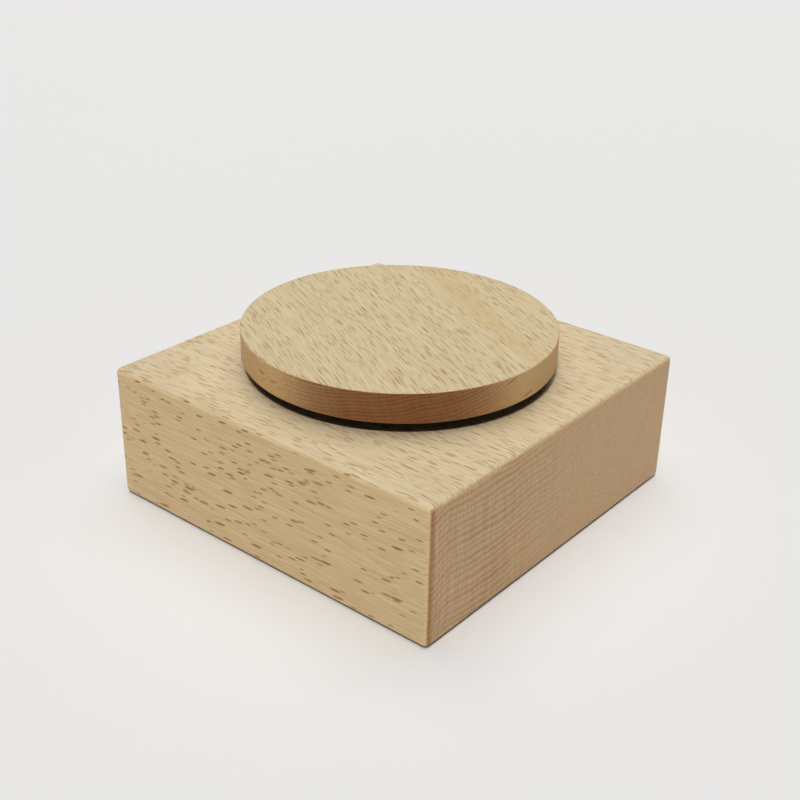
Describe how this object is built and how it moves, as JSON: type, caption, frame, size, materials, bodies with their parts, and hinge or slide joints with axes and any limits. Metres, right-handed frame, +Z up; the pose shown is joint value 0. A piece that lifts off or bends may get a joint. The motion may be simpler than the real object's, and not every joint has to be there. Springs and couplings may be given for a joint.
{
  "type": "wind-up music box",
  "caption": "Square beech music box with softly rounded edges, wound by turning the round beech disc on top, which the clockwork then turns back while a pinned cylinder plays the comb.",
  "frame": {"origin": "under the middle of the case and of the disc, on the surface that the foam pads stand on", "axes": "+Z is up along the winding arbor, +X is along the grain of the case, towards the governor, and the comb lies towards -Y"},
  "size_m": [0.1, 0.1, 0.0467],
  "materials": {
    "beech_case": "fine-sanded natural beech, bare or thinly oiled, satin",
    "beech_disc": "fine-sanded natural beech, bare or thinly oiled, satin",
    "plywood": "plain sanded birch plywood, matt",
    "foam": "black closed-cell foam, matt",
    "steel": "bright machined or stamped steel, satin",
    "spring_steel": "blued tempered spring steel, smooth",
    "brass": "machined brass, bright satin",
    "zinc": "die-cast zinc alloy, dull grey, slightly grained",
    "nylon": "moulded natural nylon, matt"
  },
  "bodies": {
    "case": {"case_body": "beech_case", "bottom_board": "plywood", "board_screw_1": "steel", "board_screw_2": "steel", "board_screw_3": "steel", "board_screw_4": "steel", "foot_pad_1": "foam", "foot_pad_2": "foam", "foot_pad_3": "foam", "foot_pad_4": "foam", "bedplate": "zinc", "mounting_screw_1": "steel", "mounting_screw_2": "steel", "mounting_screw_3": "steel", "arbor_bush": "brass", "thrust_washer": "nylon", "spring_drum": "steel", "drum_screw_1": "brass", "drum_screw_2": "brass", "drum_screw_3": "brass", "mainspring": "spring_steel", "comb": "steel", "comb_screw_1": "brass", "comb_screw_2": "brass", "bearing_post": "brass", "post_screw": "steel", "governor_frame": "steel", "frame_screw_1": "brass", "frame_screw_2": "brass", "worm_end_plate": "brass", "end_plate_screw": "steel"},
    "turntable": {"turntable_disc": "beech_disc", "disc_flange": "steel", "flange_screw_1": "steel", "flange_screw_2": "steel", "flange_screw_3": "steel", "winding_arbor": "steel", "ratchet_wheel": "steel"},
    "drive_wheel": {"drive_wheel": "brass", "click": "steel"},
    "cylinder": {"music_cylinder": "brass", "cylinder_cap_left": "brass", "cylinder_cap_right": "brass", "cylinder_arbor": "steel", "cylinder_pinion": "brass", "cylinder_wheel": "brass"},
    "first_arbor": {"first_pinion": "steel", "first_wheel": "brass"},
    "second_arbor": {"second_pinion": "steel", "worm_wheel": "brass"},
    "fan_shaft": {"worm": "steel", "fan": "nylon"}
  },
  "joints": [
    {"name": "turntable_turn", "type": "hinge", "parent": "case", "child": "turntable", "pos_m": [0, 0, 0.04], "axis": [0, 0, 1], "range_deg": [-1710, 0], "stiffness_Nm_per_rad": 0.0012, "deforming": ["mainspring"]},
    {"name": "drive_wheel_turn", "type": "hinge", "parent": "case", "child": "drive_wheel", "pos_m": [0, 0, 0.02496], "axis": [0, 0, 1], "range_deg": [-1712, 2]},
    {"name": "cylinder_turn", "type": "hinge", "parent": "case", "child": "cylinder", "pos_m": [0.0159, 0, 0.0186], "axis": [1, 0, 0], "range_deg": [-5, 3736]},
    {"name": "first_arbor_turn", "type": "hinge", "parent": "case", "child": "first_arbor", "pos_m": [0.03576, 0.00827, 0.02006], "axis": [1, 0, 0], "range_deg": [-18675, 20]},
    {"name": "second_arbor_turn", "type": "hinge", "parent": "case", "child": "second_arbor", "pos_m": [0.03426, 0.01112, 0.01512], "axis": [1, 0, 0], "range_deg": [-80, 70035]},
    {"name": "fan_turn", "type": "hinge", "parent": "case", "child": "fan_shaft", "pos_m": [0.03486, 0.01512, 0.01512], "axis": [0, 0, 1], "range_deg": [-1400691, 1600]}
  ],
  "couplings": [
    {"joint": "drive_wheel_turn", "follows": "turntable_turn", "ratio": 1},
    {"joint": "cylinder_turn", "follows": "turntable_turn", "ratio": -2.1818},
    {"joint": "first_arbor_turn", "follows": "turntable_turn", "ratio": 10.909},
    {"joint": "second_arbor_turn", "follows": "turntable_turn", "ratio": -40.909},
    {"joint": "fan_turn", "follows": "turntable_turn", "ratio": 818.18}
  ]
}
